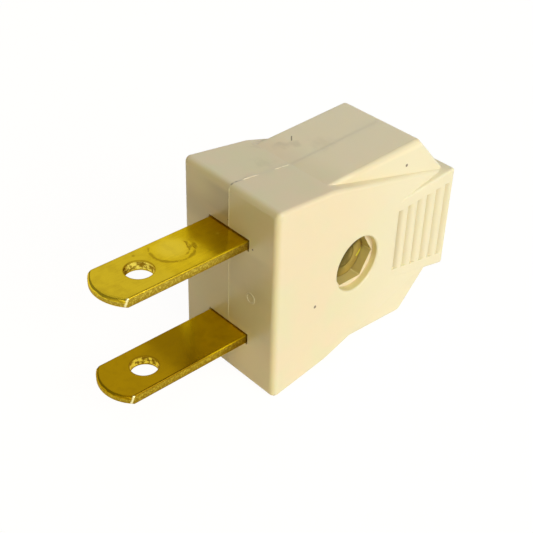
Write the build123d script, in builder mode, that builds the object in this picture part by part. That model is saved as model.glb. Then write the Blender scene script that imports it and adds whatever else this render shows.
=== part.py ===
from build123d import *
import os
from math import cos, floor, radians, tan

# Flat two-pin plug that opens into two moulded half shells, all sizes in millimetres.
# The origin is the middle of the mating face, on the parting plane between the shells.
# -Y is the way the blades go into a socket, +Z is up with the plug on its narrow side.
# "Reach" is a distance behind the mating face, along +Y.

# Blades
blade_pitch = 12.7
blade_width = 6.35
blade_thickness = 1.2
blade_length = 17.05
blade_tip_rise = 1.3
blade_hole_diameter = 3.2
blade_hole_distance = 11.75
blade_edge_round = 0.18
blade_tip_bevel = 0.35
shoulder_overhang = 1.4
shoulder_length = 1.8

# Case outline, seen from its broad side
edge_cover = 6.05
waist_reach = 9.0
waist_depth = 0.88
wing_run = 14.0
wing_rise = 0.65
wing_slant_run = 4.95
neck_run = 0.9
wing_tip_round = 0.9

# Case section, seen along the blades and from above
front_thickness = 15.45
face_taper = 3.1
rear_thickness = 14.3
wing_thickness = 11.85
panel_edge_lead = 0.4
panel_edge_angle = 14.7
wall = 1.6
front_wall = 2.2

# Finger grip at the rear of each broad face
grip_length = 9.15
grip_front_height = 10.7
grip_rear_height = 13.7
rib_lead = 0.62
rib_pitch = 1.51
rib_depth = 0.36
rib_front_length = 8.1
rib_rear_length = 10.3

# Edge rounding and the rebate along the parting seam
front_round = 0.75
panel_round = 0.45
panel_bend_round = 2.0
wing_round = 0.4
grip_round = 0.3
grip_corner_round = 0.35
seam_width = 0.05
seam_depth = 0.06

# Case screw, a pan head machine screw that runs into a loose nut
screw_reach = 13.23
screw_diameter = 3.0
screw_length = 8.0
screw_head_diameter = 5.5
screw_head_height = 2.0
nut_across_flats = 5.5
nut_height = 2.4
nut_face_depth = 2.2
well_diameter = 6.84
well_depth = 1.05
well_round = 0.25
boss_wall = 1.0

# Terminal screws, one in the tail of each blade
terminal_diameter = 3.0
terminal_length = 3.2
terminal_head_diameter = 5.5
terminal_head_height = 1.9

# Cross slots and rounded rims of the screw heads
drive_length = 3.0
drive_width = 0.7
drive_depth = 1.0
head_round = 0.6

# Cord entry, with teeth that bite the cord, and the room where its wires part
cord_entry_diameter = 7.0
cord_mouth_length = 3.2
cord_mouth_chamfer = 0.4
cord_tooth_height = 0.6
cord_tooth_width = 0.6
cord_tooth_gap = 0.9
wire_room = 4.5

# Locating pegs between the two shells
peg_diameter = 2.0
peg_length = 1.5
peg_setback = 2.5

# Clearances
slot_clearance = 0.15
seat_clearance = 0.05
thread_clearance = 0.05
screw_clearance = 0.2
head_clearance = 0.3
nut_clearance = 0.1
peg_clearance = 0.1

# How near a point or an edge has to be to count as the one looked for
touch = 0.01

# Sizes that follow from the ones above
blade_height = blade_pitch / 2
front_half_height = blade_height + edge_cover
waist_half_height = front_half_height - waist_depth
wing_half_span = waist_half_height + wing_rise
wing_reach = waist_reach + wing_run
slant_end_reach = wing_reach + wing_slant_run
body_length = slant_end_reach + neck_run
panel_edge_reach = waist_reach - panel_edge_lead
grip_reach = body_length - grip_length
rib_count = floor((grip_length - rib_lead) / rib_pitch) + 1

tail_start = front_wall + shoulder_length + 2 * seat_clearance
seat_end = tail_start + front_wall / 2
terminal_seat = blade_height + blade_thickness / 2
terminal_reach = seat_end + terminal_head_diameter / 2 + head_clearance
tail_end = terminal_reach + terminal_head_diameter / 2

nut_corner = nut_across_flats / 2 / cos(radians(30))
nut_pocket_radius = nut_corner + nut_clearance / cos(radians(30))
boss_radius = max(nut_pocket_radius, well_diameter / 2) + boss_wall
cavity_end = max(screw_reach + boss_radius, tail_end) + wire_room
cord_radius = cord_entry_diameter / 2
mouth_start = body_length - cord_mouth_length
tooth_count = floor((mouth_start - cavity_end) / (cord_tooth_width + cord_tooth_gap))


def face_offset(reach):
    """Half thickness of the case at a broad face, which tapers towards the rear."""
    return front_thickness / 2 - reach * tan(radians(face_taper))


def side_height(reach):
    """Half height of the narrow sides between the mating face and the waist."""
    return front_half_height - waist_depth * reach / waist_reach


def panel_height(reach):
    """Half height of the raised panel of a broad face, straight and then drawn in."""
    if reach <= panel_edge_reach:
        return side_height(reach)
    drawn_in = (reach - panel_edge_reach) * tan(radians(panel_edge_angle))
    return side_height(panel_edge_reach) - drawn_in


def along_grip(reach, front, rear):
    """Value at a reach that runs evenly from the front of the grip to its rear."""
    return front + (rear - front) * (reach - grip_reach) / grip_length


def grip_height(reach):
    """Half height of the finger grip, which widens towards the rear."""
    return along_grip(reach, grip_front_height, grip_rear_height) / 2


def grip_offset(reach):
    """Half thickness of the case at the finger grip, which flares towards the rear."""
    flare = along_grip(reach, face_offset(grip_reach), rear_thickness / 2)
    return max(flare, face_offset(reach))


def wing_height(reach):
    """Half height of the finger wings, which rise from the waist to their tips."""
    return waist_half_height + wing_rise * (reach - waist_reach) / wing_run


def near(value):
    """Lowest and highest value that count as this one."""
    return value - touch, value + touch


def closed_outline(upper_points):
    """The upper points of a side outline, then the lower points that mirror them."""
    return [*upper_points, *[(reach, -height) for reach, height in reversed(upper_points)]]


def layer(upper_points, plan_points):
    """Solid with a mirrored side outline that stays inside a section in the plan view."""
    with BuildPart() as solid:
        with BuildSketch(Plane.YZ):
            with BuildLine():
                Polyline(*closed_outline(upper_points), close=True)
            make_face()
        extrude(amount=front_thickness)
        with BuildSketch(Plane.XY):
            with BuildLine():
                Polyline(*plan_points, close=True)
            make_face()
        extrude(amount=front_half_height, both=True, mode=Mode.INTERSECT)
    return solid.part


# Upper side of each layer's outline, and of all three together at the seam
panel_outline = [(y, panel_height(y)) for y in (0, panel_edge_reach, slant_end_reach)]
wing_outline = [
    (panel_edge_reach / 2, wing_height(panel_edge_reach / 2)),
    (wing_reach, wing_half_span),
    (slant_end_reach, grip_height(slant_end_reach)),
    (body_length - wall, cord_radius),
]
grip_outline = [(y, grip_height(y)) for y in (grip_reach, body_length)]

# Raised panel of a broad face, together with the whole front block
with BuildPart() as panel:
    add(
        layer(
            panel_outline,
            [
                (0, 0),
                (face_offset(0), 0),
                (face_offset(slant_end_reach), slant_end_reach),
                (0, slant_end_reach),
            ],
        )
    )
    side_bends = panel.edges().filter_by(Axis.X).filter_by_position(Axis.Y, *near(panel_edge_reach))
    fillet(side_bends, panel_bend_round)
    broad_edges = panel.faces().sort_by(Axis.X)[-1].edges().sort_by(Axis.Y)
    fillet(broad_edges[1:-1], panel_round)
    front_edges = panel.faces().sort_by(Axis.Y)[0].edges()
    parting_edge = front_edges.sort_by(Axis.X)[:1]
    fillet(front_edges - parting_edge, front_round)

# Finger wings, a thinner slab behind the front block
with BuildPart() as wings:
    with BuildSketch(Plane.YZ) as wing_sketch:
        with BuildLine():
            Polyline(*closed_outline(wing_outline), close=True)
        make_face()
        fillet(wing_sketch.vertices().filter_by_position(Axis.X, *near(wing_reach)), wing_tip_round)
    extrude(amount=wing_thickness / 2)
    fillet(wings.faces().sort_by(Axis.X)[-1].edges(), wing_round)

# Finger grip, a wedge that flares towards the rear and makes the neck of the case
with BuildPart() as grip:
    add(
        layer(
            grip_outline,
            [
                (0, grip_reach),
                (grip_offset(grip_reach), grip_reach),
                (grip_offset(body_length), body_length),
                (0, body_length),
            ],
        )
    )
    rear_corners = grip.edges().filter_by(Axis.X).filter_by_position(Axis.Y, *near(body_length))
    fillet(rear_corners, grip_corner_round)
    broad_edges = grip.faces().sort_by(Axis.X)[-1].edges()
    fillet(broad_edges - broad_edges.sort_by(Axis.Y)[:1], grip_round)

# What both shells share, from the parting plane outwards
with BuildPart() as common_half:
    add(panel.part)
    add(wings.part)
    add(grip.part)

    # Fine rebate along the seam
    with BuildSketch(Plane.YZ) as seam:
        for outline in (panel_outline, wing_outline, grip_outline):
            with BuildLine():
                Polyline(*closed_outline(outline), close=True)
            make_face()
        fillet(seam.vertices().filter_by_position(Axis.X, *near(0)), front_round)
        fillet(seam.vertices().filter_by_position(Axis.X, *near(panel_edge_reach)), panel_bend_round)
        fillet(seam.vertices().filter_by_position(Axis.X, *near(wing_reach)), wing_tip_round)
        fillet(seam.vertices().filter_by_position(Axis.X, *near(body_length)), grip_corner_round)
        offset(amount=-seam_depth, mode=Mode.SUBTRACT)
    extrude(amount=seam_width, mode=Mode.SUBTRACT)

    # Rounded ribs of the finger grip, with a sharp valley in front of each
    for rib in range(rib_count):
        valley = grip_reach + rib_lead + rib * rib_pitch
        crest_before = (grip_offset(valley - rib_pitch / 2), valley - rib_pitch / 2)
        crest_after = (grip_offset(valley + rib_pitch / 2), valley + rib_pitch / 2)
        bottom = (grip_offset(valley) - rib_depth, valley)
        with BuildSketch(Plane.XY):
            with BuildLine():
                TangentArc(crest_before, bottom, tangent=(0, 1))
                TangentArc(crest_after, bottom, tangent=(0, -1))
                Polyline(
                    crest_before,
                    (front_thickness, crest_before[1]),
                    (front_thickness, crest_after[1]),
                    crest_after,
                )
            make_face()
        rib_length = along_grip(valley, rib_front_length, rib_rear_length)
        extrude(amount=rib_length / 2, both=True, mode=Mode.SUBTRACT)

    # Hollow whose walls follow the broad face and the sides of the panel
    hollow = layer(
        [(y, panel_height(y) - wall) for y in (front_wall, panel_edge_reach, cavity_end)],
        [
            (0, front_wall),
            (face_offset(front_wall) - wall, front_wall),
            (face_offset(cavity_end) - wall, cavity_end),
            (0, cavity_end),
        ],
    )
    add(hollow, mode=Mode.SUBTRACT)

    # Boss for the case screw
    with BuildSketch(Plane.YZ):
        with Locations((screw_reach, 0)):
            Circle(boss_radius)
    extrude(amount=face_offset(screw_reach) - wall / 2)

    # Seats that carry the blades behind the front wall
    with BuildSketch(Plane.YZ):
        with Locations((front_wall, blade_height), (front_wall, -blade_height)):
            Rectangle(seat_end - front_wall, blade_thickness + 2 * wall, align=(Align.MIN, Align.CENTER))
    extrude(amount=face_offset(seat_end) - wall / 2)

    # Room for the blades, their shoulders and the terminal screws
    slot_width = blade_width + 2 * slot_clearance
    for side in (1, -1):
        with BuildSketch(Plane.XY.offset(side * blade_height)):
            with Locations((0, -slot_clearance)):
                Rectangle(slot_width, tail_end + 2 * slot_clearance, align=(Align.CENTER, Align.MIN))
            with Locations((0, front_wall)):
                Rectangle(
                    slot_width + 2 * shoulder_overhang,
                    tail_start - front_wall,
                    align=(Align.CENTER, Align.MIN),
                )
        extrude(amount=blade_thickness / 2 + slot_clearance, both=True, mode=Mode.SUBTRACT)
        terminal_plane = Plane((0, terminal_reach, side * terminal_seat), z_dir=(0, 0, side))
        with BuildSketch(terminal_plane):
            Circle(terminal_head_diameter / 2 + head_clearance)
        extrude(amount=terminal_head_height + head_clearance, mode=Mode.SUBTRACT)
        with BuildSketch(terminal_plane):
            Circle(terminal_diameter / 2 + head_clearance)
        extrude(amount=-terminal_length - head_clearance, mode=Mode.SUBTRACT)

    # Cord entry with a lead-in at its mouth
    with BuildSketch(Plane.XZ.offset(-cavity_end)):
        Circle(cord_radius)
    extrude(amount=cavity_end - body_length, mode=Mode.SUBTRACT)
    with BuildSketch(Plane.XZ.offset(-body_length)):
        Circle(cord_radius + cord_mouth_chamfer)
    extrude(amount=cord_mouth_chamfer, taper=45, mode=Mode.SUBTRACT)

    # Teeth that bite the cord
    for tooth in range(tooth_count):
        tooth_reach = mouth_start - tooth * (cord_tooth_width + cord_tooth_gap)
        with BuildSketch(Plane.XZ.offset(-tooth_reach)):
            Circle(cord_radius + seam_depth)
            Circle(cord_radius - cord_tooth_height, mode=Mode.SUBTRACT)
            Rectangle(
                cord_entry_diameter,
                2 * cord_entry_diameter,
                align=(Align.MIN, Align.CENTER),
                mode=Mode.INTERSECT,
            )
        extrude(amount=cord_tooth_width)

# Places on the case screw's line, as distances from the parting plane
well_face = face_offset(screw_reach)
well_floor = well_face - well_depth
nut_outer = well_face - nut_face_depth
nut_seat = nut_outer - nut_height
screw_seat = screw_length - nut_outer
peg_reach = wing_reach - peg_setback
peg_height = (panel_height(peg_reach) - wall + wing_half_span) / 2
peg_places = [(peg_reach, peg_height), (peg_reach, -peg_height)]

# Half shell with the pocket for the nut, on the +X side
with BuildPart() as nut_half_shell:
    add(common_half.part)
    with BuildSketch(Plane.YZ.offset(well_floor)):
        with Locations((screw_reach, 0)):
            Circle(well_diameter / 2)
    extrude(amount=front_thickness, mode=Mode.SUBTRACT)
    fillet(nut_half_shell.edges().filter_by(GeomType.ELLIPSE).sort_by(Axis.X)[-1], well_round)
    with BuildSketch(Plane.YZ.offset(nut_seat)):
        with Locations((screw_reach, 0)):
            RegularPolygon(nut_pocket_radius, 6)
    extrude(amount=well_floor - nut_seat, mode=Mode.SUBTRACT)
    with BuildSketch(Plane.YZ):
        with Locations((screw_reach, 0)):
            Circle(screw_diameter / 2 + screw_clearance)
    extrude(amount=nut_seat, mode=Mode.SUBTRACT)
    with BuildSketch(Plane.YZ):
        with Locations(*peg_places):
            Circle(peg_diameter / 2)
    extrude(amount=-peg_length)

# Half shell with the well for the screw head, on the -X side
with BuildPart() as screw_half_shell:
    add(mirror(common_half.part, about=Plane.YZ, mode=Mode.PRIVATE))
    with BuildSketch(Plane.YZ.offset(-screw_seat)):
        with Locations((screw_reach, 0)):
            Circle(well_diameter / 2)
    extrude(amount=-front_thickness, mode=Mode.SUBTRACT)
    fillet(screw_half_shell.edges().filter_by(GeomType.ELLIPSE).sort_by(Axis.X)[0], well_round)
    with BuildSketch(Plane.YZ):
        with Locations((screw_reach, 0)):
            Circle(screw_diameter / 2 + screw_clearance)
    extrude(amount=-screw_seat, mode=Mode.SUBTRACT)
    with BuildSketch(Plane.YZ):
        with Locations(*peg_places):
            Circle(peg_diameter / 2 + peg_clearance)
    extrude(amount=-peg_length - peg_clearance, mode=Mode.SUBTRACT)


def blade(height):
    """Flat brass blade at a height, with shoulders, a round tip, a hole and a tapped tail."""
    tip_start = blade_tip_rise - blade_length
    with BuildPart() as strip:
        with BuildSketch(Plane.XY.offset(height)):
            with BuildLine():
                Polyline(
                    (-blade_width / 2, tip_start),
                    (-blade_width / 2, tail_end),
                    (blade_width / 2, tail_end),
                    (blade_width / 2, tip_start),
                )
                ThreePointArc(
                    (blade_width / 2, tip_start), (0, -blade_length), (-blade_width / 2, tip_start)
                )
            make_face()
            with Locations((0, front_wall + seat_clearance)):
                Rectangle(
                    blade_width + 2 * shoulder_overhang,
                    shoulder_length,
                    align=(Align.CENTER, Align.MIN),
                )
        extrude(amount=blade_thickness / 2, both=True)
        chamfer(strip.edges().filter_by(GeomType.CIRCLE), blade_tip_bevel)
        outer_edges = strip.edges().filter_by(lambda edge: edge.center().Y < 0)
        fillet(outer_edges.filter_by(Axis.Y), blade_edge_round)
        with BuildSketch(Plane.XY.offset(height)):
            with Locations((0, -blade_hole_distance)):
                Circle(blade_hole_diameter / 2)
            with Locations((0, terminal_reach)):
                Circle(terminal_diameter / 2 + thread_clearance)
        extrude(amount=blade_thickness, both=True, mode=Mode.SUBTRACT)
    return strip.part


with BuildPart() as upper_blade:
    add(blade(blade_height))

with BuildPart() as lower_blade:
    add(blade(-blade_height))


def pan_head_screw(seat, diameter, length, head_diameter, head_height):
    """Screw whose head sits on the seat plane and points along the plane's normal."""
    with BuildPart() as screw:
        with BuildSketch(seat):
            Circle(diameter / 2)
        extrude(amount=-length)
        with BuildSketch(seat):
            Circle(head_diameter / 2)
        extrude(amount=head_height)
        top = screw.faces().sort_by(Axis(seat.origin, seat.z_dir))[-1]
        fillet(top.edges(), head_round)
        with BuildSketch(seat.offset(head_height)):
            Rectangle(drive_length, drive_width)
            Rectangle(drive_width, drive_length)
        extrude(amount=-drive_depth, mode=Mode.SUBTRACT)
    return screw.part


# Case screw, its head in the -X shell and its end flush with the nut
with BuildPart() as case_screw:
    head_plane = Plane((-screw_seat, screw_reach, 0), z_dir=(-1, 0, 0))
    add(
        pan_head_screw(
            head_plane, screw_diameter, screw_length, screw_head_diameter, screw_head_height
        )
    )

# Hexagon nut with its corners turned off
with BuildPart() as case_nut:
    with BuildSketch(Plane.YZ.offset(nut_seat)):
        with Locations((screw_reach, 0)):
            RegularPolygon(nut_corner, 6)
            Circle(screw_diameter / 2 + thread_clearance, mode=Mode.SUBTRACT)
    extrude(amount=nut_height)
    turned = (nut_corner - nut_across_flats / 2) * tan(radians(30))
    with BuildSketch(Plane.XY):
        with BuildLine():
            Polyline(
                (nut_seat, screw_reach),
                (nut_seat, screw_reach + nut_across_flats / 2),
                (nut_seat + turned, screw_reach + nut_corner),
                (nut_outer - turned, screw_reach + nut_corner),
                (nut_outer, screw_reach + nut_across_flats / 2),
                (nut_outer, screw_reach),
                close=True,
            )
        make_face()
    revolve(axis=Axis((0, screw_reach, 0), (1, 0, 0)), mode=Mode.INTERSECT)

# One terminal screw in the tail of each blade, heads facing the narrow sides
with BuildPart() as terminal_screws:
    for side in (1, -1):
        add(
            pan_head_screw(
                Plane((0, terminal_reach, side * terminal_seat), z_dir=(0, 0, side)),
                terminal_diameter,
                terminal_length,
                terminal_head_diameter,
                terminal_head_height,
            )
        )

os.makedirs("parts", exist_ok=True)
pieces = {
    "nut_half_shell": nut_half_shell,
    "screw_half_shell": screw_half_shell,
    "upper_blade": upper_blade,
    "lower_blade": lower_blade,
    "terminal_screws": terminal_screws,
    "case_screw": case_screw,
    "case_nut": case_nut,
}
for name, piece in pieces.items():
    piece.part.label = name
    export_step(piece.part, f"parts/{name}.step")
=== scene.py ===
# %% [markdown]
# A flat two-pin plug: an ivory plastic case in two halves, and two brass blades.
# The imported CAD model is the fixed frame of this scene. It already has every piece at its
# real size, so this lesson is about surfaces: soft moulded edges, plastic that has yellowed
# a little, and sheet brass that sockets have rubbed.

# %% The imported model
from math import cos, pi, radians, sin

import bpy
import numpy as np
from mathutils import Matrix, Vector


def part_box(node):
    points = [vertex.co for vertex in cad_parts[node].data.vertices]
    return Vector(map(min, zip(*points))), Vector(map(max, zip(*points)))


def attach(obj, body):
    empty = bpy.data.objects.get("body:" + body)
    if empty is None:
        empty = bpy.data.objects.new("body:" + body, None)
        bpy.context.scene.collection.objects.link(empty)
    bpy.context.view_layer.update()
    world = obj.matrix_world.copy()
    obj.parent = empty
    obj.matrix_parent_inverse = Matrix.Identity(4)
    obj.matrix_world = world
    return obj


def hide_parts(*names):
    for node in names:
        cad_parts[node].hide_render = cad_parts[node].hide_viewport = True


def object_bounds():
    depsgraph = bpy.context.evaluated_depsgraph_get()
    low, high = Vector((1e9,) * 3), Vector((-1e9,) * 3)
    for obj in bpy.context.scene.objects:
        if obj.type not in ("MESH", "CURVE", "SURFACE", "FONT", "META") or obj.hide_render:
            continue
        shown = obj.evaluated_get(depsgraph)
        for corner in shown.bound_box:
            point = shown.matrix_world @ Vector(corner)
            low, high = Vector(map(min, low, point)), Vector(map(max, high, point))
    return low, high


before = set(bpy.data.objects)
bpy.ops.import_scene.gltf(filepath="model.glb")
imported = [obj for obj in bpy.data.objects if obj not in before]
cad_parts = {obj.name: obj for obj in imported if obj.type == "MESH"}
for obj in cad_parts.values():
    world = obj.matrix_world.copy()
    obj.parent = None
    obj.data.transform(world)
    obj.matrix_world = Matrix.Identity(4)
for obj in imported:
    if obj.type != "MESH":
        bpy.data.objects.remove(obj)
cad_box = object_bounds()
scene = bpy.context.scene
MM = 0.001
print("CAD box in mm:", [[round(v / MM, 2) for v in corner] for corner in cad_box])

# %% [markdown]
# The camera comes first, because every later choice is judged through it. A photograph of an
# object with known sizes fixes its own camera: the spacing of the blades and the straight edges
# of the case gave the angles, the distance and the lens below. It looks down on the plug from
# the front right.

# %% Camera
camera_azimuth = radians(47.0)
camera_elevation = radians(35.76)
camera_roll = radians(1.79)
camera_target = Vector((-0.72, 6.36, -1.44)) * MM
camera_distance = 122.0 * MM
camera_lens = 71.93
camera_sensor = 36
nearest_seen = 5 * MM

away = Vector((
    sin(camera_azimuth) * cos(camera_elevation),
    -cos(camera_azimuth) * cos(camera_elevation),
    sin(camera_elevation),
))
level = Vector((cos(camera_azimuth), sin(camera_azimuth), 0))
upright = away.cross(level)
right = level * cos(camera_roll) + upright * sin(camera_roll)
upward = upright * cos(camera_roll) - level * sin(camera_roll)

camera_data = bpy.data.cameras.new("camera")
camera_data.lens = camera_lens
camera_data.sensor_width = camera_sensor
camera_data.clip_start = nearest_seen
camera = bpy.data.objects.new("camera", camera_data)
camera.matrix_world = (
    Matrix.Translation(camera_target + away * camera_distance)
    @ Matrix((right, upward, away)).transposed().to_4x4()
)
scene.collection.objects.link(camera)
scene.camera = camera
print("camera stands", round(camera_distance / MM, 1), "mm from the plug")

# %% [markdown]
# Materials are easier to read as formulas than as rows of node calls. The class below wraps one
# socket. Adding, subtracting, multiplying or dividing wrapped sockets adds Math nodes, with plain
# numbers allowed on either side. Every other node comes from its `node` method, which takes the
# node's settings first and then the values or links of its inputs.

# %% Shader maths
class Field:
    """A socket of a node tree that can stand in a formula, or just the tree to start one from."""

    def __init__(self, tree, socket=None):
        self.tree = tree
        self.socket = socket

    def node(self, kind, settings=None, inputs=None, output=0):
        """Add a node with these settings and inputs, and wrap one of its outputs."""
        made = self.tree.nodes.new(kind)
        for name, setting in (settings or {}).items():
            setattr(made, name, setting)
        for name, value in (inputs or {}).items():
            if isinstance(value, Field):
                self.tree.links.new(value.socket, made.inputs[name])
            else:
                made.inputs[name].default_value = value
        return Field(self.tree, made.outputs[output])

    def math(self, operation, first, second):
        return self.node("ShaderNodeMath", {"operation": operation}, {0: first, 1: second})

    def __add__(self, other):
        return self.math("ADD", self, other)

    def __radd__(self, other):
        return self.math("ADD", other, self)

    def __sub__(self, other):
        return self.math("SUBTRACT", self, other)

    def __rsub__(self, other):
        return self.math("SUBTRACT", other, self)

    def __mul__(self, other):
        return self.math("MULTIPLY", self, other)

    def __rmul__(self, other):
        return self.math("MULTIPLY", other, self)

    def __truediv__(self, other):
        return self.math("DIVIDE", self, other)

    def __rtruediv__(self, other):
        return self.math("DIVIDE", other, self)

    def __abs__(self):
        return self.node("ShaderNodeMath", {"operation": "ABSOLUTE"}, {0: self})

    def most(self, other):
        """The larger of two values."""
        return self.math("MAXIMUM", self, other)

    def rise(self, low, high):
        """0 below low, 1 above high, and a smooth step between them."""
        settings = {"interpolation_type": "SMOOTHSTEP"}
        return self.node("ShaderNodeMapRange", settings, {"Value": self, "From Min": low, "From Max": high})

    def fall(self, low, high):
        """1 below low, 0 above high, and a smooth step between them."""
        return 1 - self.rise(low, high)

    def between(self, low, high, soft):
        """1 from low to high, 0 outside, with soft ends."""
        return self.rise(low - soft, low) * self.fall(high, high + soft)

    def noise(self, scale, detail=2.0):
        """Cloudy noise from 0 to 1 at this place, with about `scale` lumps in a millimetre."""
        return self.node("ShaderNodeTexNoise", None, {"Vector": self, "Scale": scale, "Detail": detail})

    def vector(self, operation, other, output=0):
        return self.node("ShaderNodeVectorMath", {"operation": operation}, {0: self, 1: other}, output)

    def from_point(self, point):
        """Distance of this place from a point."""
        return self.vector("DISTANCE", point, output=1)

    def from_line(self, start, end):
        """Distance of this place from the stretch of line between two points."""
        span = Vector(end) - Vector(start)
        offset = self.vector("SUBTRACT", start)
        share = offset.vector("DOT_PRODUCT", span / span.length_squared, output=1)
        held = self.node("ShaderNodeClamp", None, {"Value": share})
        nearest = self.node("ShaderNodeVectorMath", {"operation": "SCALE"}, {0: span, "Scale": held})
        return offset.vector("DISTANCE", nearest, output=1)

    def blend(self, first, second):
        """The first colour where this value is 0 and the second where it is 1."""
        inputs = {"Factor": self, 6: first, 7: second}
        return self.node("ShaderNodeMix", {"data_type": "RGBA"}, inputs, output=2)

    def bump(self, depth_mm):
        """A normal for this height from 0 to 1, as deep as stated."""
        inputs = {"Strength": 1.0, "Distance": depth_mm * MM, "Height": self}
        return self.node("ShaderNodeBump", None, inputs)


def finish(name):
    """A new material, its main shader and its place in millimetres, whole and as x, y and z."""
    material = bpy.data.materials.new(name)
    material.use_nodes = True
    start = Field(material.node_tree)
    place = start.node("ShaderNodeTexCoord", output="Object")
    place = start.node("ShaderNodeMapping", None, {"Vector": place, "Scale": (1 / MM, 1 / MM, 1 / MM)})
    x, y, z = [start.node("ShaderNodeSeparateXYZ", None, {0: place}, axis) for axis in range(3)]
    return material, material.node_tree.nodes["Principled BSDF"], place, x, y, z


def feed(shader, **inputs):
    """Link Fields to the shader's inputs, and set plain numbers and colours on them."""
    for name, value in inputs.items():
        target = shader.inputs[name.replace("_", " ")]
        if isinstance(value, Field):
            value.tree.links.new(value.socket, target)
        else:
            target.default_value = value


def ray_kinds(tree):
    """1 for rays from the camera, and 1 for rays that a mirror or glass sends on."""
    kinds = ("Is Camera Ray", "Is Glossy Ray", "Is Transmission Ray")
    camera_ray, glossy, through = [Field(tree).node("ShaderNodeLightPath", output=kind) for kind in kinds]
    return camera_ray, glossy.most(through)


print("shader formulas are ready")

# %% [markdown]
# The stage is a pale floor that runs out of sight in every direction. The photograph's background
# is plain white, so camera and mirror rays see the floor mostly as white light. A small share of
# the floor's real shading is left in, which keeps a soft shadow under the plug.

# %% Floor
floor_height = cad_box[0][2]
floor_reach = 3.0
floor_shadow_share = 0.14
floor_cream = (0.80, 0.71, 0.53, 1)
floor_roughness = 0.9
floor_white = 1.1

floor_mesh = bpy.data.meshes.new("floor")
floor_corners = np.array([(-1, -1, 0), (1, -1, 0), (1, 1, 0), (-1, 1, 0)]) * floor_reach
floor_mesh.from_pydata((floor_corners + (0, 0, floor_height)).tolist(), [], [(0, 1, 2, 3)])
floor = bpy.data.objects.new("floor", floor_mesh)
scene.collection.objects.link(floor)

floor_paper, shader, *_ = finish("floor_paper")
feed(shader, Base_Color=floor_cream, Roughness=floor_roughness)
tree = floor_paper.node_tree
camera_ray, mirrored = ray_kinds(tree)
white = Field(tree).node("ShaderNodeEmission", None, {"Color": (1, 1, 1, 1), "Strength": floor_white})
paper = Field(tree, shader.outputs["BSDF"])
white_share = camera_ray.most(mirrored) * (1 - floor_shadow_share)
mixed = white.node("ShaderNodeMixShader", None, {0: white_share, 1: paper, 2: white})
tree.links.new(mixed.socket, tree.nodes["Material Output"].inputs["Surface"])
floor_mesh.materials.append(floor_paper)
print("floor at z =", round(floor_height / MM, 2), "mm")

# %% [markdown]
# One broad window-like lamp stands a little above the plug on its right: it makes the broad face the
# brightest and lets the light fall off softly round each edge. A panel overhead and one behind
# light the top, and the blades mirror the one behind. A dim warm lamp in front stands for the
# light that the brass throws back on the mating face.

# %% Light
scene.view_settings.view_transform = "Standard"


def lamp_panel(name, direction, distance_m, size_m, strength, colour):
    """A square area lamp that faces the plug; strength is the light it sheds on a facing surface."""
    lamp = bpy.data.lights.new(name, "AREA")
    lamp.shape = "SQUARE"
    lamp.size = size_m
    lamp.color = colour
    lamp.energy = strength * pi * pi * distance_m ** 2
    holder = bpy.data.objects.new(name, lamp)
    direction = Vector(direction).normalized()
    holder.location = direction * distance_m
    holder.rotation_euler = direction.to_track_quat("Z", "Y").to_euler()
    scene.collection.objects.link(holder)


lamp_panel(
    "window",
    direction=(0.93, 0.06, 0.36),
    distance_m=0.7,
    size_m=0.62,
    strength=0.96,
    colour=(0.965, 0.985, 0.965),
)
lamp_panel(
    "overhead",
    direction=(0.38, -0.30, 0.87),
    distance_m=0.7,
    size_m=0.5,
    strength=0.23,
    colour=(1.0, 0.955, 0.91),
)
lamp_panel(
    "behind",
    direction=(-0.42, 0.66, 0.62),
    distance_m=0.35,
    size_m=0.48,
    strength=0.28,
    colour=(1.0, 0.97, 0.93),
)
lamp_panel(
    "warm_return",
    direction=(0.20, -0.80, 0.35),
    distance_m=0.7,
    size_m=0.5,
    strength=0.055,
    colour=(1.0, 0.82, 0.36),
)

sky_in_shade = 0.05
sky_in_mirrors = 0.30
world = bpy.data.worlds.new("even_sky")
world.use_nodes = True
scene.world = world
tree = world.node_tree
camera_ray, mirrored = ray_kinds(tree)
strength = sky_in_shade + mirrored * (sky_in_mirrors - sky_in_shade) + camera_ray * (1 - sky_in_shade)
background = tree.nodes["Background"]
background.inputs["Color"].default_value = (1, 1, 1, 1)
tree.links.new(strength.socket, background.inputs["Strength"])

# %% [markdown]
# A CAD node arrives as loose flat triangles, which would show as facets on every rounded edge.
# So each piece gets a copy whose equal points are merged, with a normal of its own for each corner.
# Triangles that turn by less than a set angle share their normals, and a large flat outweighs the
# slim triangles beside it, so the flats stay flat and the rounds look round. The blades get a wider
# angle, so that the small bevel of their tips is shaded as if it were rounded.

# %% Smooth copies of the CAD pieces
sharp_angle = radians(28)
blade_sharp_angle = radians(50)
grid_mm = 1e-4
facing_steps = 1000
tiny = 1e-12


def merged(points, triangles):
    """The points that triangles use, with equal ones merged, and the triangles on them."""
    keys = np.round(points[triangles.reshape(-1)] / grid_mm).astype(int)
    places, index = np.unique(keys, axis=0, return_inverse=True)
    triangles = index.reshape(-1, 3)
    real = np.all(triangles != np.roll(triangles, 1, axis=1), axis=1)
    return places * grid_mm, triangles[real]


def cad_triangles(node_name):
    """Merged points of a CAD node in millimetres, and its triangles."""
    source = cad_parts[node_name].data
    points = np.empty(len(source.vertices) * 3)
    source.vertices.foreach_get("co", points)
    corners = np.empty(len(source.loops), int)
    source.loops.foreach_get("vertex_index", corners)
    return merged(points.reshape(-1, 3) / MM, corners.reshape(-1, 3))


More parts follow.
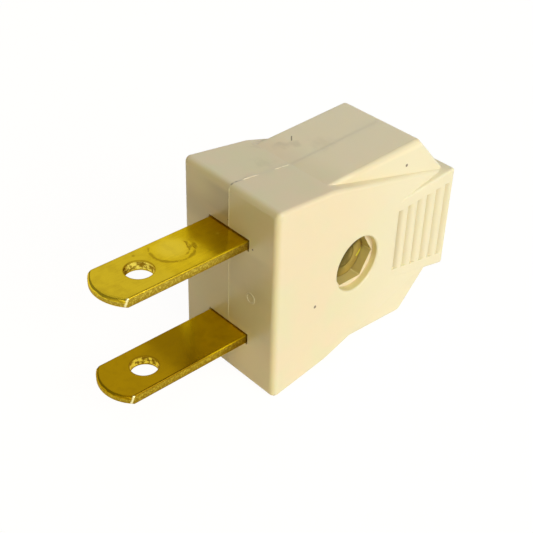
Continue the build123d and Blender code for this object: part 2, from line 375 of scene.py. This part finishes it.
def corner_normals(points, triangles, sharp):
    """A unit normal for each corner of each triangle.

    It sums weight * normal over the triangles that meet in the corner's point and turn by less than
    the sharp angle. The weight is the area of all triangles that face the same way."""
    corners = points[triangles]
    normals = np.cross(corners[:, 1] - corners[:, 0], corners[:, 2] - corners[:, 0])
    areas = np.linalg.norm(normals, axis=1)
    normals = normals / np.maximum(areas, tiny)[:, None]
    ways = np.round(normals * facing_steps).astype(int)
    facing = np.unique(ways, axis=0, return_inverse=True)[1].reshape(-1)
    weighted = normals * np.bincount(facing, areas)[facing][:, None]

    order = np.argsort(triangles.reshape(-1), kind="stable")
    point = triangles.reshape(-1)[order]
    face = order // 3
    count = np.bincount(point)[point]
    one = np.repeat(np.arange(len(point)), count)
    skipped = np.cumsum(count) - count - np.searchsorted(point, point)
    other = np.arange(len(one)) - np.repeat(skipped, count)
    alike = np.sum(normals[face[one]] * normals[face[other]], axis=1) > cos(sharp)
    sums = np.zeros((len(point), 3))
    np.add.at(sums, order[one], weighted[face[other]] * alike[:, None])
    return sums / np.maximum(np.linalg.norm(sums, axis=1, keepdims=True), tiny)


def smooth_piece(name, points, triangles, sharp=sharp_angle):
    """A smooth piece on the root body, from points in millimetres."""
    mesh = bpy.data.meshes.new(name)
    mesh.from_pydata((points * MM).tolist(), [], triangles.tolist())
    mesh.shade_smooth()
    mesh.normals_split_custom_set(corner_normals(points, triangles, sharp).tolist())
    piece = bpy.data.objects.new(name, mesh)
    scene.collection.objects.link(piece)
    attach(piece, "root")
    print(name, "has", len(points), "points and", len(triangles), "triangles")
    return piece


def piece_for(node_name, points, triangles, sharp=sharp_angle):
    """A smooth piece that stands for a CAD node."""
    piece = smooth_piece(node_name + "_smooth", points, triangles, sharp)
    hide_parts(node_name)
    return piece


plain_nodes = ("nut_half_shell", "screw_half_shell", "case_nut")
pieces = {name: piece_for(name, *cad_triangles(name)) for name in plain_nodes}
for name in ("upper_blade", "lower_blade"):
    pieces[name] = piece_for(name, *cad_triangles(name), blade_sharp_angle)

# %% [markdown]
# Machine screws have a thread, and the CAD model has only the plain cylinder that the thread is
# rolled into. A thread is easy as a grid: one parameter runs along the screw and one round it, and
# the radius dips once per pitch, a little later with each step round. The grid starts on the very
# points where the CAD shank meets its head, so the two join without a gap and nothing grows.

# %% Screws with their threads
thread_pitch = 0.5
thread_depth = 0.3
rows_per_pitch = 8
end_bevel = 0.1
shank_limit = 1.6
on_plane = 0.01


def woven(grid):
    """Two triangles for each cell of a grid of point numbers whose rows are closed rings."""
    after = np.roll(grid, -1, axis=1)
    first = np.stack([grid[:-1], after[:-1], after[1:]], -1)
    second = np.stack([grid[:-1], after[1:], grid[1:]], -1)
    return np.vstack([first.reshape(-1, 3), second.reshape(-1, 3)])


def thread_rings(rim, along, length):
    """Rings of points along a shank, the first one on the rim under its head.

    radius(u, v) = R - depth * ramp(u) * (1 - cos(2 pi (u / pitch - v))) / 2, and the last turn fades out.
    u is the length from the head and v the share of a turn, which follows the rim's points. The ramp
    leaves a plain neck under the head."""
    centre = rim.mean(0)
    spokes = rim - centre
    start = spokes[0] / np.linalg.norm(spokes[0])
    v = np.arctan2(spokes @ np.cross(along, start), spokes @ start) / (2 * pi)
    u = np.linspace(0, length, int(length / thread_pitch * rows_per_pitch) + 1)[:, None]
    ramp = np.clip(u / thread_pitch - 1, 0, 1)
    runout = np.clip((u - length) / thread_pitch + 1, 0, 1)
    groove = ramp * (1 - np.cos(2 * pi * (u / thread_pitch - v))) / 2
    dip = np.maximum(groove * (1 - runout), runout * end_bevel)
    share = 1 - dip * thread_depth / np.linalg.norm(spokes, axis=1)
    return centre + spokes * share[..., None] + along * u[..., None]


def threaded(points, triangles, head_way):
    """A screw with its head on the stated side, with its plain shank made a thread with a flat end."""
    points, triangles = merged(points, triangles)
    axis = np.argmax(np.abs(head_way))
    depth = points @ np.array(head_way)
    beside = np.linalg.norm(np.delete(points - (points.min(0) + points.max(0)) / 2, axis, 1), axis=1)
    seat = depth[beside > shank_limit].min()
    head = triangles[np.all(depth[triangles] > seat - on_plane, axis=1)]
    rim = points[(abs(depth - seat) < on_plane) & (beside < shank_limit)]
    spokes = rim - rim.mean(0)
    turn = np.arctan2(spokes @ np.cross(head_way, spokes[0]), spokes @ spokes[0])
    rings = thread_rings(rim[np.argsort(-turn)], -np.array(head_way), seat - depth.min())
    grid = np.arange(rings[..., 0].size).reshape(rings.shape[:2]) + len(points)
    end = np.stack([np.full_like(grid[-1], grid[-1, 0]), grid[-1], np.roll(grid[-1], -1)], -1)
    faces = np.vstack([head, woven(grid), end])
    return merged(np.vstack([points, rings.reshape(-1, 3)]), faces)


points, triangles = cad_triangles("case_screw")
pieces["case_screw"] = piece_for("case_screw", *threaded(points, triangles, (-1.0, 0.0, 0.0)))

points, triangles = cad_triangles("terminal_screws")
is_upper = np.all(points[triangles][..., 2] > 0, axis=1)
upper_points, upper_faces = threaded(points, triangles[is_upper], (0.0, 0.0, 1.0))
lower_points, lower_faces = threaded(points, triangles[~is_upper], (0.0, 0.0, -1.0))
both_points = np.vstack([upper_points, lower_points])
both_faces = np.vstack([upper_faces, lower_faces + len(upper_points)])
pieces["terminal_screws"] = piece_for("terminal_screws", both_points, both_faces)

# %% [markdown]
# Moulding squeezes a trace of plastic into the seam between the halves. It fills the fine rebate of
# the CAD model, so most of the seam nearly vanishes, and here and there it stands a little proud and
# catches the lamp. This flash is a narrow profile carried along the outline of the case. It stops at
# the slots of the blades, so it comes in three runs.

# %% Flash along the seam
seam_half_width = 0.048
seam_root = 0.05
seam_spread = 0.8
seam_step = 0.15
wobble_share = 0.35
front_round = 0.75
front_corner = (0.75, 11.573)
top_lean = radians(84.42)
waist_round = 2.0
waist_centre = (8.2466, 9.5845)
waist_lean = radians(74.32)
seam_end = (22.4, 12.142)
seam_start = -11.3
slot_inner = 5.5
slot_outer = 7.2
on_face = 0.01


def round_stretch(centre, radius, start, end, steps):
    """Points (y, z) of the outline on an arc, from one angle to another."""
    turn = np.linspace(start, end, steps)
    return np.stack([np.cos(turn), np.sin(turn)], -1) * radius + centre


corner_arc = round_stretch(front_corner, front_round, pi, top_lean, steps=9)
waist_arc = round_stretch(waist_centre, waist_round, top_lean, waist_lean, steps=4)
seam_runs = [
    np.array([(0, seam_start), (0, -slot_outer)]),
    np.array([(0, -slot_inner), (0, slot_inner)]),
    np.vstack([[(0, slot_outer)], corner_arc, waist_arc, [seam_end]]),
]
front_crest_at = [seam_start, -slot_outer, -slot_inner, -4.6, slot_inner, 11.5]
front_crest = [0.02, 0.02, 0.0, 0.045, 0.045, 0.055]
top_crest_at = [0.0, 0.5, 1.7, 2.2, 3.6, 4.2, 6.2, 6.7, 8.2, 8.7]
top_crest = [0.055, 0.0, 0.0, 0.10, 0.09, 0.0, 0.0, 0.09, 0.07, 0.0]


def seam_strip(corners):
    """Closed strip along corners (y, z) of the outline, as points in millimetres and triangles.

    point(s, k) = path(s) + across(k) width(s, k) X + (crest(s) bulge(k) - root(k)) normal(s). The last
    two of the seven points k lie on the floor of the rebate, and the others spread where it is proud."""
    lengths = np.append(0, np.cumsum(np.linalg.norm(np.diff(corners, axis=0), axis=1)))
    s = np.linspace(0, lengths[-1], int(lengths[-1] / seam_step) + 2)
    y, z = [np.interp(s, lengths, values) for values in corners.T]
    way = np.stack([np.gradient(y, s), np.gradient(z, s)], -1)
    way = way / np.linalg.norm(way, axis=1, keepdims=True)
    on_front = np.interp(z, front_crest_at, front_crest)
    crest = np.where(y < on_face, on_front, np.interp(y, top_crest_at, top_crest))
    crest = crest * (1 + wobble_share * np.sin(7.3 * s) * np.sin(2.9 * s + 1))

    across = np.array([-1, -0.6, 0, 0.6, 1, 1, -1])
    bulge = np.array([0.1, 0.75, 1, 0.75, 0.1, 0, 0])
    root = np.array([0, 0, 0, 0, 0, 1, 1])
    rise = crest[:, None] * bulge - root * seam_root
    x = across * (seam_half_width + seam_spread * crest[:, None] * (1 - root))
    points = np.stack([x, y[:, None] - way[:, 1:] * rise, z[:, None] + way[:, :1] * rise], -1)

    grid = np.arange(rise.size).reshape(rise.shape)
    fan = np.arange(1, len(across) - 1)
    start_cap = np.stack([np.zeros_like(fan), fan + 1, fan], -1)
    end_cap = np.stack([np.zeros_like(fan), fan, fan + 1], -1) + grid[-1, 0]
    return points.reshape(-1, 3), np.vstack([woven(grid), start_cap, end_cap])


strips = [seam_strip(run) for run in seam_runs]
starts = np.cumsum([0] + [len(strip) for strip, _ in strips])
flash_points = np.vstack([strip for strip, _ in strips])
flash_faces = np.vstack([faces + start for (_, faces), start in zip(strips, starts)])
pieces["seam_flash"] = smooth_piece("seam_flash", flash_points, flash_faces)

# %% [markdown]
# A pin pushed the case out of its mould and left a fine raised ring on the mating face. It is a
# flattened torus, sunk by half into the face: one parameter runs round the ring and one round its
# section.

# %% Ring of the ejector pin
ejector_place = (3.71, 0.0, -0.30)
ejector_radius = 0.6
ejector_half_width = 0.12
ejector_height = 0.07


def ejector_ring(steps_round, steps_in_section):
    """Points in millimetres and triangles of the ring.

    point(u, v) = place + (radius + half width cos v) (cos u X + sin u Z) + height sin v Y."""
    u = np.linspace(0, 2 * pi, steps_round, endpoint=False)[:, None]
    v = np.linspace(0, 2 * pi, steps_in_section, endpoint=False)[None]
    reach = ejector_radius + ejector_half_width * np.cos(v)
    along_y = np.broadcast_to(ejector_height * np.sin(v), (steps_round, steps_in_section))
    points = np.stack([reach * np.cos(u), along_y, reach * np.sin(u)], -1) + ejector_place
    grid = np.arange(along_y.size).reshape(along_y.shape)
    return points.reshape(-1, 3), woven(np.vstack([grid, grid[:1]]))


ring_points, ring_faces = ejector_ring(steps_round=48, steps_in_section=12)
pieces["ejector_ring"] = smooth_piece("ejector_ring", ring_points, ring_faces)

# %% [markdown]
# The case is moulded ivory plastic, hard and a little glossy. Old ivory plastic isn't one colour:
# it drifts between a rosy and a greenish cream, and it has bleached towards the rear. Its top is
# painted lighter towards the rear, as painted light from above. Each step from here on blends one
# more trace of age, or of painted light or shade, into the same colour, by a mask that is 1 where it
# lies. Two numbers for a mask say where it starts to change and where it has changed, and a third
# says how soft its ends are, all in millimetres.

# %% Colour of the ivory plastic
rosy_ivory = (0.875, 0.740, 0.492, 1)
greenish_ivory = (0.830, 0.760, 0.486, 1)
bleached_ivory = (0.870, 0.790, 0.550, 1)
painted_top_light_ivory = (0.985, 0.860, 0.585, 1)
bleached_reach = (8.0, 24.0)
top_light_reach = (9.0, 13.0)
top_light_share = 0.6
top_height = (10.8, 11.3)

ivory, shader, place, x, y, z = finish("ivory_plastic")
cloud = place.noise(0.18)
patchy = place.noise(1.1, detail=4.0) - 0.5
colour = cloud.rise(0.35, 0.65).blend(rosy_ivory, greenish_ivory)
colour = y.rise(*bleached_reach).blend(colour, bleached_ivory)
on_top = z.rise(*top_height)
# Painted light: the top is lighter towards the rear, as if lit more from above.
colour = (top_light_share * on_top * y.rise(*top_light_reach)).blend(colour, painted_top_light_ivory)
print("ivory bleaches from", bleached_reach[0], "to", bleached_reach[1], "mm behind the mating face")

# %% [markdown]
# The mating face gets a warmer tone: painted warm light, such as the brass throws back on it.
# Painted shade darkens it on the left of the seam, over the upper blade and between the blades, and
# patchy brown painted shade lies round the slots of the blades.

# %% Mating face
brass_light_ivory = (0.895, 0.765, 0.330, 1)
shaded_ivory = (0.50, 0.36, 0.16, 1)
painted_shade_ivory = (0.44, 0.38, 0.21, 1)
slot_shade_brown = (0.36, 0.19, 0.07, 1)
brass_light_share = 0.45
front_depth = (0.1, 0.6)
left_of_seam = (-0.02, 0.03)
left_width = (-7.0, -0.2)
over_upper_blade = (6.9, 7.6, 2.8)
blade_gap = (-4.5, 5.0, 1.0)
under_upper_blade = (1.0, 5.0, 2.0)
upper_corner = (8.6, 11.0, 0.8)
blade_height = 6.35
slot_shade_height = (0.60, 0.90)
slot_shade_width = (3.2, 3.45)

on_front = y.fall(*front_depth)
on_left = x.fall(*left_of_seam)
# Painted warm light from the brass on the mating face.
colour = (brass_light_share * on_front).blend(colour, brass_light_ivory)
# Painted shade on the left of the seam and over the upper blade.
left_shade = 0.16 * x.rise(*left_width) + 0.38 * z.between(*over_upper_blade)
colour = (left_shade * on_front * on_left).blend(colour, shaded_ivory)

# Painted shade between the blades and in the upper left corner of the mating face.
painted_shade_right = 0.20 * z.between(*blade_gap) + 0.18 * z.between(*under_upper_blade)
painted_shade_right = painted_shade_right * x.rise(0.0, 0.5) * x.fall(4.0, 8.0)
painted_shade_left = 0.45 * z.between(*upper_corner) * x.rise(-5.5, -1.0) * on_left
colour = ((painted_shade_right + painted_shade_left) * on_front).blend(colour, painted_shade_ivory)

# Painted shade: a patchy brown band round the slots of the blades.
painted_slot_shade = abs(abs(z) - blade_height).fall(*slot_shade_height) * abs(x).fall(*slot_shade_width) * on_front
colour = (painted_slot_shade * (0.25 + 0.5 * patchy.rise(-0.05, 0.1))).blend(colour, slot_shade_brown)
print("slots leave brown traces", slot_shade_height[1], "mm above and below the middle of each blade")

# %% [markdown]
# The upper edge of the wing fades into its side instead of ending in a crisp line: a band of painted
# shade follows the edge, which climbs towards the rear. Around the nut, the well and the pocket are
# painted olive, as painted shade with a painted reflection of the brass, and only the lit ledge between
# them keeps the ivory.

# %% Wing edge and nut pocket
wing_edge_start = (8.787, 11.51)
wing_edge_slope = 0.0464
wing_side = (5.4, 5.6)
wing_reach = (11.0, 14.0)
wing_band = (0.1, 0.9)
wing_shade_share = 0.28
ledge_ivory = (0.86, 0.72, 0.475, 1)
pocket_shade_olive = (0.60, 0.495, 0.185, 1)
well_shade_olive = (0.85, 0.75, 0.33, 1)
well_shade_share = 0.85
pocket_shade_share = 0.9
screw_line = (0, 13.23, 0)
nut_pocket_radius = 3.3
well_radius = 3.47
well_floor = 5.96
floor_soft = 0.05
wall_soft = 0.1

# Painted shade: a band along the upper edge of the wing.
below_edge = wing_edge_start[1] + wing_edge_slope * (y - wing_edge_start[0]) - z
wing_edge_shade = below_edge.fall(*wing_band) * x.rise(*wing_side) * y.rise(*wing_reach)
colour = (wing_shade_share * wing_edge_shade).blend(colour, painted_shade_ivory)

# Painted shade and a painted reflection of the brass: the well and the pocket round the nut are olive, and
# the lit ledge keeps the ivory.
from_screw = place.vector("MULTIPLY", (0, 1, 1)).from_point(screw_line)
in_well = x.rise(0.0, 0.5) * from_screw.fall(well_radius - floor_soft, well_radius)
below_ledge = x.fall(well_floor - wall_soft, well_floor)
in_pocket = in_well * from_screw.fall(nut_pocket_radius - wall_soft, nut_pocket_radius) * below_ledge
on_ledge = x.rise(well_floor - floor_soft, well_floor) * x.fall(well_floor + floor_soft, well_floor + 0.12)
colour = (well_shade_share * in_well).blend(colour, well_shade_olive)
colour = (in_well * on_ledge).blend(colour, ledge_ivory)
colour = (pocket_shade_share * in_pocket).blend(colour, pocket_shade_olive)
print("brass stain reaches", well_radius, "mm from the middle of the screw")

# %% [markdown]
# The valleys between the ribs of the grip get painted shade, most of it in the first valley. A folded
# distance, which runs up and down once for each rib, gives all valleys at once.

# %% Painted shade in the grip
valley_shade_brown = (0.42, 0.34, 0.19, 1)
first_valley = 20.32
rib_pitch = 1.51
valley_width = (0.0, 0.55)
darker_first_valley_reach = (20.7, 21.3)
grip_depth = (6.0, 6.2)
grip_reach = (19.8, 28.3, 0.1)
rib_end = (1.55, 1.75)
rib_end_slope = 0.12

folding = {0: y - first_valley, 1: rib_pitch / 2}
from_valley = place.node("ShaderNodeMath", {"operation": "PINGPONG"}, folding)
on_ribs = abs(x).rise(*grip_depth) * y.between(*grip_reach) * (abs(z) - rib_end_slope * y).fall(*rib_end)
# Painted shade in the valleys between the ribs.
painted_valley_shade = on_ribs * from_valley.fall(*valley_width) * (0.16 + 0.18 * y.fall(*darker_first_valley_reach))
colour = painted_valley_shade.blend(colour, valley_shade_brown)
print("dirt lies in the valleys from", first_valley, "mm on, one each", rib_pitch, "mm")

# %% [markdown]
# Small marks from use are kept as lists of places and radii, which are easier to correct than a
# painted picture: dark specks, a short dark tick, a grey smudge and fainter grey spots on top, and a
# trace of dirt along the seam. Noise makes their borders ragged.

# %% Small marks
speck_brown = (0.13, 0.08, 0.04, 1)
smudge_grey = (0.40, 0.33, 0.20, 1)
specks = [
    ((7.38, 6.32, -2.45), 0.25),
    ((5.92, 21.28, 9.37), 0.24),
    ((3.89, 0.0, 6.20), 0.14),
    ((-0.08, 0.0, 7.98), 0.12),
]
tick = ((-4.24, 12.86, 11.70), (-3.60, 12.26, 11.67))
smudge = ((-3.70, 10.70, 11.60), (-2.70, 12.09, 11.66))
grey_spots = [((-4.98, 8.29, 11.59), 0.7), ((-1.69, 6.31, 11.78), 1.3), ((-0.9, 14.3, 11.77), 1.6)]
dirty_seam = (0.4, 1.7, 0.2)
faint_seam = (9.0, 13.0)

ragged = place.noise(9.0) * 0.12 - 0.06
seam_dirt = abs(x).fall(0.06, 0.14) * y.between(*dirty_seam) * (0.2 + 0.4 * patchy.rise(-0.1, 0.1))
seam_trace = 0.018 * abs(x + 0.1).fall(0.05, 0.4) * y.rise(*faint_seam)
dark = on_top * seam_dirt.most(seam_trace)
dark = dark.most(0.8 * (place.from_line(*tick) + ragged * 0.5).fall(0.03, 0.10))
for speck, radius in specks:
    dark = dark.most(0.95 * (place.from_point(speck) + ragged).fall(0.5 * radius, radius))
dull = 0.20 * (place.from_line(*smudge) + patchy * 2.0).fall(0.0, 0.9)
for spot, radius in grey_spots:
    dull = dull.most(0.13 * (place.from_point(spot) + patchy * 3.0).fall(0.0, 1.2 * radius))
dull = dull * on_top
colour = dull.blend(colour, smudge_grey)
colour = dark.blend(colour, speck_brown)
print("marks on the case:", len(specks) + len(grey_spots) + 3)

# %% [markdown]
# Moulded plastic is never quite flat: it sinks a little where it cooled last, and it has a very fine
# grain. Light also travels a little way inside this plastic, which softens the step from a lit face
# to a shaded one.

# %% Relief of the ivory plastic
ripple_height = 0.012
grain_height = 0.002
ivory_roughness = 0.30
light_depth = 1.2 * MM
light_reach = (1.0, 0.7, 0.35)

height = place.noise(0.45, detail=1.0) * ripple_height + place.noise(7.0, detail=3.0) * grain_height
feed(
    shader,
    Base_Color=colour,
    Roughness=ivory_roughness + cloud * 0.10 + dull * 0.3,
    Normal=height.bump(1.0),
    Subsurface_Weight=0.2,
    Subsurface_Radius=light_reach,
    Subsurface_Scale=light_depth,
)
for name in ("nut_half_shell", "screw_half_shell", "seam_flash", "ejector_ring"):
    pieces[name].data.materials.append(ivory)
print("ivory plastic has", len(ivory.node_tree.nodes), "nodes")

# %% [markdown]
# The blades are punched from rolled brass sheet, so their flats are smooth and mirror the room softly.
# Each blade has three tones along its length, at the tip, in the middle and at the root: partly wear
# and partly painted reflection, darker where a flat mirrors the shaded case or the other blade.
# Browner clouds of tarnish lie over them.

# %% Tones of the rolled flats
rolling_scale = (4.0, 0.3, 4.0)
tip_border = (-11.0, -8.0)
root_border = (-6.6, -3.4)


def reflected_and_worn_tones(place, x, y, tones, wear, slant):
    """Colour of a rolled flat, with painted reflection in its tones, and the two noises that it is made of.

    The border between two tones wanders by about `wear` millimetres, and the one by the root slants."""
    lengthways = place.node("ShaderNodeMapping", None, {"Vector": place, "Scale": rolling_scale})
    rolled = lengthways.noise(1.0, detail=3.0)
    cloud = place.noise(0.35, detail=3.0)
    worn = cloud * wear + rolled * 0.4 - wear / 2 - 0.2
    # The three tones are partly wear and partly painted reflection.
    colour = (y + worn).rise(*tip_border).blend(tones["tip"], tones["middle"])
    colour = (y + slant * x + worn).rise(*root_border).blend(colour, tones["root"])
    colour = (0.14 * place.noise(0.9).rise(0.45, 0.70)).blend(colour, tones["brown"])
    tarnish = 0.1 * wear * (cloud * 0.8 + rolled * 0.4).rise(0.50, 0.80)
    return tarnish.blend(colour, tones["brown"]), cloud, rolled


print("flats change tone", -tip_border[1], "and", -root_border[1], "mm in front of the mating face")

# %% [markdown]
# The upper blade carries a curved rub from a socket's contact: most of a circle, with a shorter curve
# inside it. Both end at a straight line on the left, and noise makes them wander and break.

# %% Rub of a contact
rub_centre = (-0.9, -6.9, 0)
rub_radius = 2.45
inner_rub_radius = 1.85
inner_rub_from = (-6.9, -6.0)
rub_end = (-2.6, -9.0)
rub_end_way = (0.936, -0.351)
dark_spot = (-2.3, -10.77, 6.95)
light_spot = (0.02, -1.53, 6.95)


def contact_rub(place, x, y):
    """Masks of the rub's lines, and of the flat that they surround."""
    from_centre = place.vector("MULTIPLY", (1, 1, 0)).from_point(rub_centre)
    wander = place.noise(0.9, detail=3.0) * 2.2 - 1.1
    outer = (abs(from_centre - rub_radius) + wander * 0.35).fall(0.06, 0.26)
    inner = (abs(from_centre - inner_rub_radius) + wander * 0.4).fall(0.04, 0.20) * y.rise(*inner_rub_from)
    past_end = rub_end_way[0] * (x - rub_end[0]) + rub_end_way[1] * (y - rub_end[1])
    unbroken = place.noise(1.5, detail=2.0).rise(0.34, 0.52)
    return outer.most(inner) * past_end.rise(-0.3, 0.3) * unbroken, from_centre.fall(0.8, 2.4)


print("the rub is", 2 * rub_radius, "mm wide")

# %% [markdown]
# The punch leaves the sides and the wall of the hole rougher, speckled with bright spots, and browner
# in their lower half. Above them a brown band runs along the edge and round the hole: a burr, and along
# the edge also painted shade that keeps the rounded edge from catching the lamp.

# %% Sheared sides and their burr
half_width = 3.175
hole_centre = (0, -11.75, 0)
hole_radius = 1.6
tip_from = -15.6
side_height = (0.40, 0.48)
side_lower_half = (-0.40, 0.30)
edge_band_width = (-0.20, -0.12)
edge_band_height = (0.36, 0.44)
edge_band_reach = (-14.0, -7.0, 4.0)


def from_hole(place):
    """Distance of a place from the middle line of the blade's hole."""
    return place.vector("MULTIPLY", (1, 1, 0)).from_point(hole_centre)


def sheared_sides(place, y, z, height, tones):
    """Mask of the sides and the hole's wall, their colour and their pits."""
    pits = place.noise(4.0) * 0.5 + place.noise(13.0) * 0.5
    at_tip = 0.22 * y.fall(tip_from - 0.15, tip_from)
    sheared = (abs(z - height) + at_tip).fall(*side_height)
    lower_half = (z - height).fall(*side_lower_half)
    share = 0.18 - 0.12 * lower_half + 0.55 * pits.rise(0.45, 0.64) * (1 - 0.35 * lower_half)
    side_colour = share.blend(tones["brown"], tones["bright"])
    wall_colour = place.noise(2.4, detail=3.0).rise(0.42, 0.60).blend(tones["brown"], tones["bright"])
    in_hole = from_hole(place).fall(hole_radius + 0.03, hole_radius + 0.10)
    return sheared, in_hole.blend(side_colour, wall_colour), pits


def burr_and_edge_shade(place, x, y, z, height, sheared, strength):
    """Mask of the burr and of painted shade along the edges, of a strength along the edges and strongest on
    the outer half of the blade.
    """
    on_edge = (abs(x) - half_width).rise(*edge_band_width) * abs(z - height).rise(*edge_band_height)
    on_edge = on_edge * strength * (0.45 + 0.55 * y.between(*edge_band_reach))
    round_hole = from_hole(place).fall(hole_radius + 0.02, hole_radius + 0.14) * (1 - sheared)
    return on_edge.most(0.7 * round_hole) * place.noise(1.3, detail=3.0).rise(0.20, 0.42)


print("the punch cut a hole of", 2 * hole_radius, "mm")

# %% [markdown]
# Now the two blades come together from these parts. They only differ in their tones, in how far the
# wear wanders, and in the rub, which the lower one lacks. The lower one is darker and browner, partly
# tarnish and partly painted reflection. A corner of each tip gets a painted glint.

# %% Sheet brass of the blades
# Painted glint at the near corner of each tip.
corner_glint = ((3.15, -15.45, 0.48), (3.17, -15.75, -0.15))
glint_yellow = (1.0, 0.92, 0.48, 1)
grazing_tint = (1.0, 0.82, 0.50, 1)


def sheet_brass(name, height, tones, wear, slant, rub_strength, burr_and_shade_strength):
    """Rolled brass with sheared sides, for the blade at a height in millimetres."""
    brass, shader, place, x, y, z = finish(name)
    colour, cloud, rolled = reflected_and_worn_tones(place, x, y, tones, wear, slant)
    rub, inside_rub = contact_rub(place, x, y)
    rub = rub * rub_strength
    dark_marks = rub.most(rub_strength * place.from_point(dark_spot).fall(0.08, 0.26))
    light_mark = rub_strength * place.from_point(light_spot).fall(0.08, 0.24)
    colour = (0.30 * rub_strength * inside_rub).blend(colour, tones["bright"])
    colour = (0.5 * dark_marks).blend(colour, tones["brown"])
    colour = (0.8 * light_mark).blend(colour, tones["bright"])

    sheared, side_colour, pits = sheared_sides(place, y, z, height, tones)
    burr_and_shade = burr_and_edge_shade(place, x, y, z, height, sheared, burr_and_shade_strength)
    ragged = place.noise(9.0) - 0.5
    from_corner = place.vector("SUBTRACT", (0, 0, height)).from_line(*corner_glint) + ragged * 0.2
    colour = sheared.blend(colour, side_colour)
    # Burr, and painted shade along the edges.
    colour = (0.85 * burr_and_shade).blend(colour, tones["brown"])
    colour = (0.9 * from_corner.fall(0.06, 0.20)).blend(colour, glint_yellow)
    feed(
        shader,
        Base_Color=colour,
        Metallic=1.0,
        Specular_Tint=grazing_tint,
        Roughness=0.18 + cloud * 0.08 + rub * 0.15 + sheared * 0.14 + burr_and_shade * 0.2,
        Normal=(rolled * 0.004 + pits * sheared * 0.012 - rub * 0.02).bump(1.0),
    )
    print(name, "has", len(brass.node_tree.nodes), "nodes")
    return brass


upper_tones = {
    "tip": (0.76, 0.555, 0.024, 1),
    "middle": (0.86, 0.62, 0.016, 1),
    "root": (0.70, 0.49, 0.006, 1),
    "brown": (0.27, 0.155, 0.006, 1),
    "bright": (0.90, 0.73, 0.10, 1),
}
# The lower blade's darker, browner tones are partly tarnish and partly painted reflection of the upper
# blade and the shaded case.
lower_tones = {
    "tip": (0.46, 0.275, 0.003, 1),
    "middle": (0.30, 0.17, 0.001, 1),
    "root": (0.74, 0.51, 0.004, 1),
    "brown": (0.22, 0.12, 0.004, 1),
    "bright": (0.80, 0.60, 0.05, 1),
}
upper_brass = sheet_brass(
    "upper_blade_brass",
    blade_height,
    upper_tones,
    wear=2.4,
    slant=0.0,
    rub_strength=1.0,
    burr_and_shade_strength=0.7,
)
lower_brass = sheet_brass(
    "lower_blade_brass",
    -blade_height,
    lower_tones,
    wear=1.0,
    slant=0.45,
    rub_strength=0.0,
    burr_and_shade_strength=1.0,
)
pieces["upper_blade"].data.materials.append(upper_brass)
pieces["lower_blade"].data.materials.append(lower_brass)

# %% [markdown]
# Nut and screws are turned brass that has sat in the plug for years, so they are dull with a trace
# of the tool's circles. The screws are painted darker than the nut, as painted shade deep in the pocket.
# A painted shadow of the pocket's rim lies on the side towards the blades, and one of the nut's turned
# corners gets a painted glint.

# %% Turned brass of the nut and the screws
nut_olive = (0.63, 0.49, 0.135, 1)
nut_brown = (0.56, 0.43, 0.12, 1)
screw_clean = (0.46, 0.36, 0.10, 1)
screw_brown = (0.30, 0.23, 0.06, 1)
rim_shadow_brown = (0.10, 0.075, 0.02, 1)
nut_glint_yellow = (0.98, 0.93, 0.12, 1)
nut_glint_line = ((4.81, 15.4, -0.91), (4.81, 16.07, -0.23))
tool_circles = 40
nut_side = (2.0, 3.0)
rim_shadow_reach = (12.9, 15.3)
upper_rim_shadow_reach = (13.0, 14.6)
turned_roughness = 0.46


def turned_brass(name, line_point, across, clean, brown):
    """Dull turned brass with circles round a line.

    The line goes through a point, along the axis that `across` leaves out. The painted shadow's two
    borders slant, because the upper rim of the pocket casts it."""
    brass, shader, place, x, y, z = finish(name)
    radius = place.vector("SUBTRACT", line_point).vector("MULTIPLY", across).from_point((0, 0, 0))
    circles = place.node("ShaderNodeMath", {"operation": "SINE"}, {0: radius * tool_circles})
    cloud = place.noise(0.9, detail=3.0)
    colour = cloud.rise(0.35, 0.70).blend(clean, brown)
    # Painted shadow of the pocket's rim on the side towards the blades.
    painted_rim_shadow = 0.85 * (y - 0.6 * z).fall(*rim_shadow_reach)
    painted_upper_rim_shadow = 0.95 * (y - 1.5 * z).fall(*upper_rim_shadow_reach)
    colour = (painted_rim_shadow.most(painted_upper_rim_shadow) * x.rise(*nut_side)).blend(colour, rim_shadow_brown)
    # Painted glint on one turned corner of the nut.
    feed(
        shader,
        Base_Color=place.from_line(*nut_glint_line).fall(0.06, 0.22).blend(colour, nut_glint_yellow),
        Metallic=1.0,
        Roughness=turned_roughness + cloud * 0.14,
        Normal=(circles * 0.004 + place.noise(6.0) * 0.006).bump(1.0),
    )
    return brass


terminal_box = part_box("terminal_screws")
terminal_line = (0, (terminal_box[0][1] + terminal_box[1][1]) / 2 / MM, 0)
nut_brass = turned_brass("nut_brass", screw_line, (0, 1, 1), nut_olive, nut_brown)
screw_brass = turned_brass("screw_brass", screw_line, (0, 1, 1), screw_clean, screw_brown)
terminal_brass = turned_brass("terminal_brass", terminal_line, (1, 1, 0), screw_clean, screw_brown)
pieces["case_nut"].data.materials.append(nut_brass)
pieces["case_screw"].data.materials.append(screw_brass)
pieces["terminal_screws"].data.materials.append(terminal_brass)
print("turned brass:", nut_brass.name, screw_brass.name, terminal_brass.name)
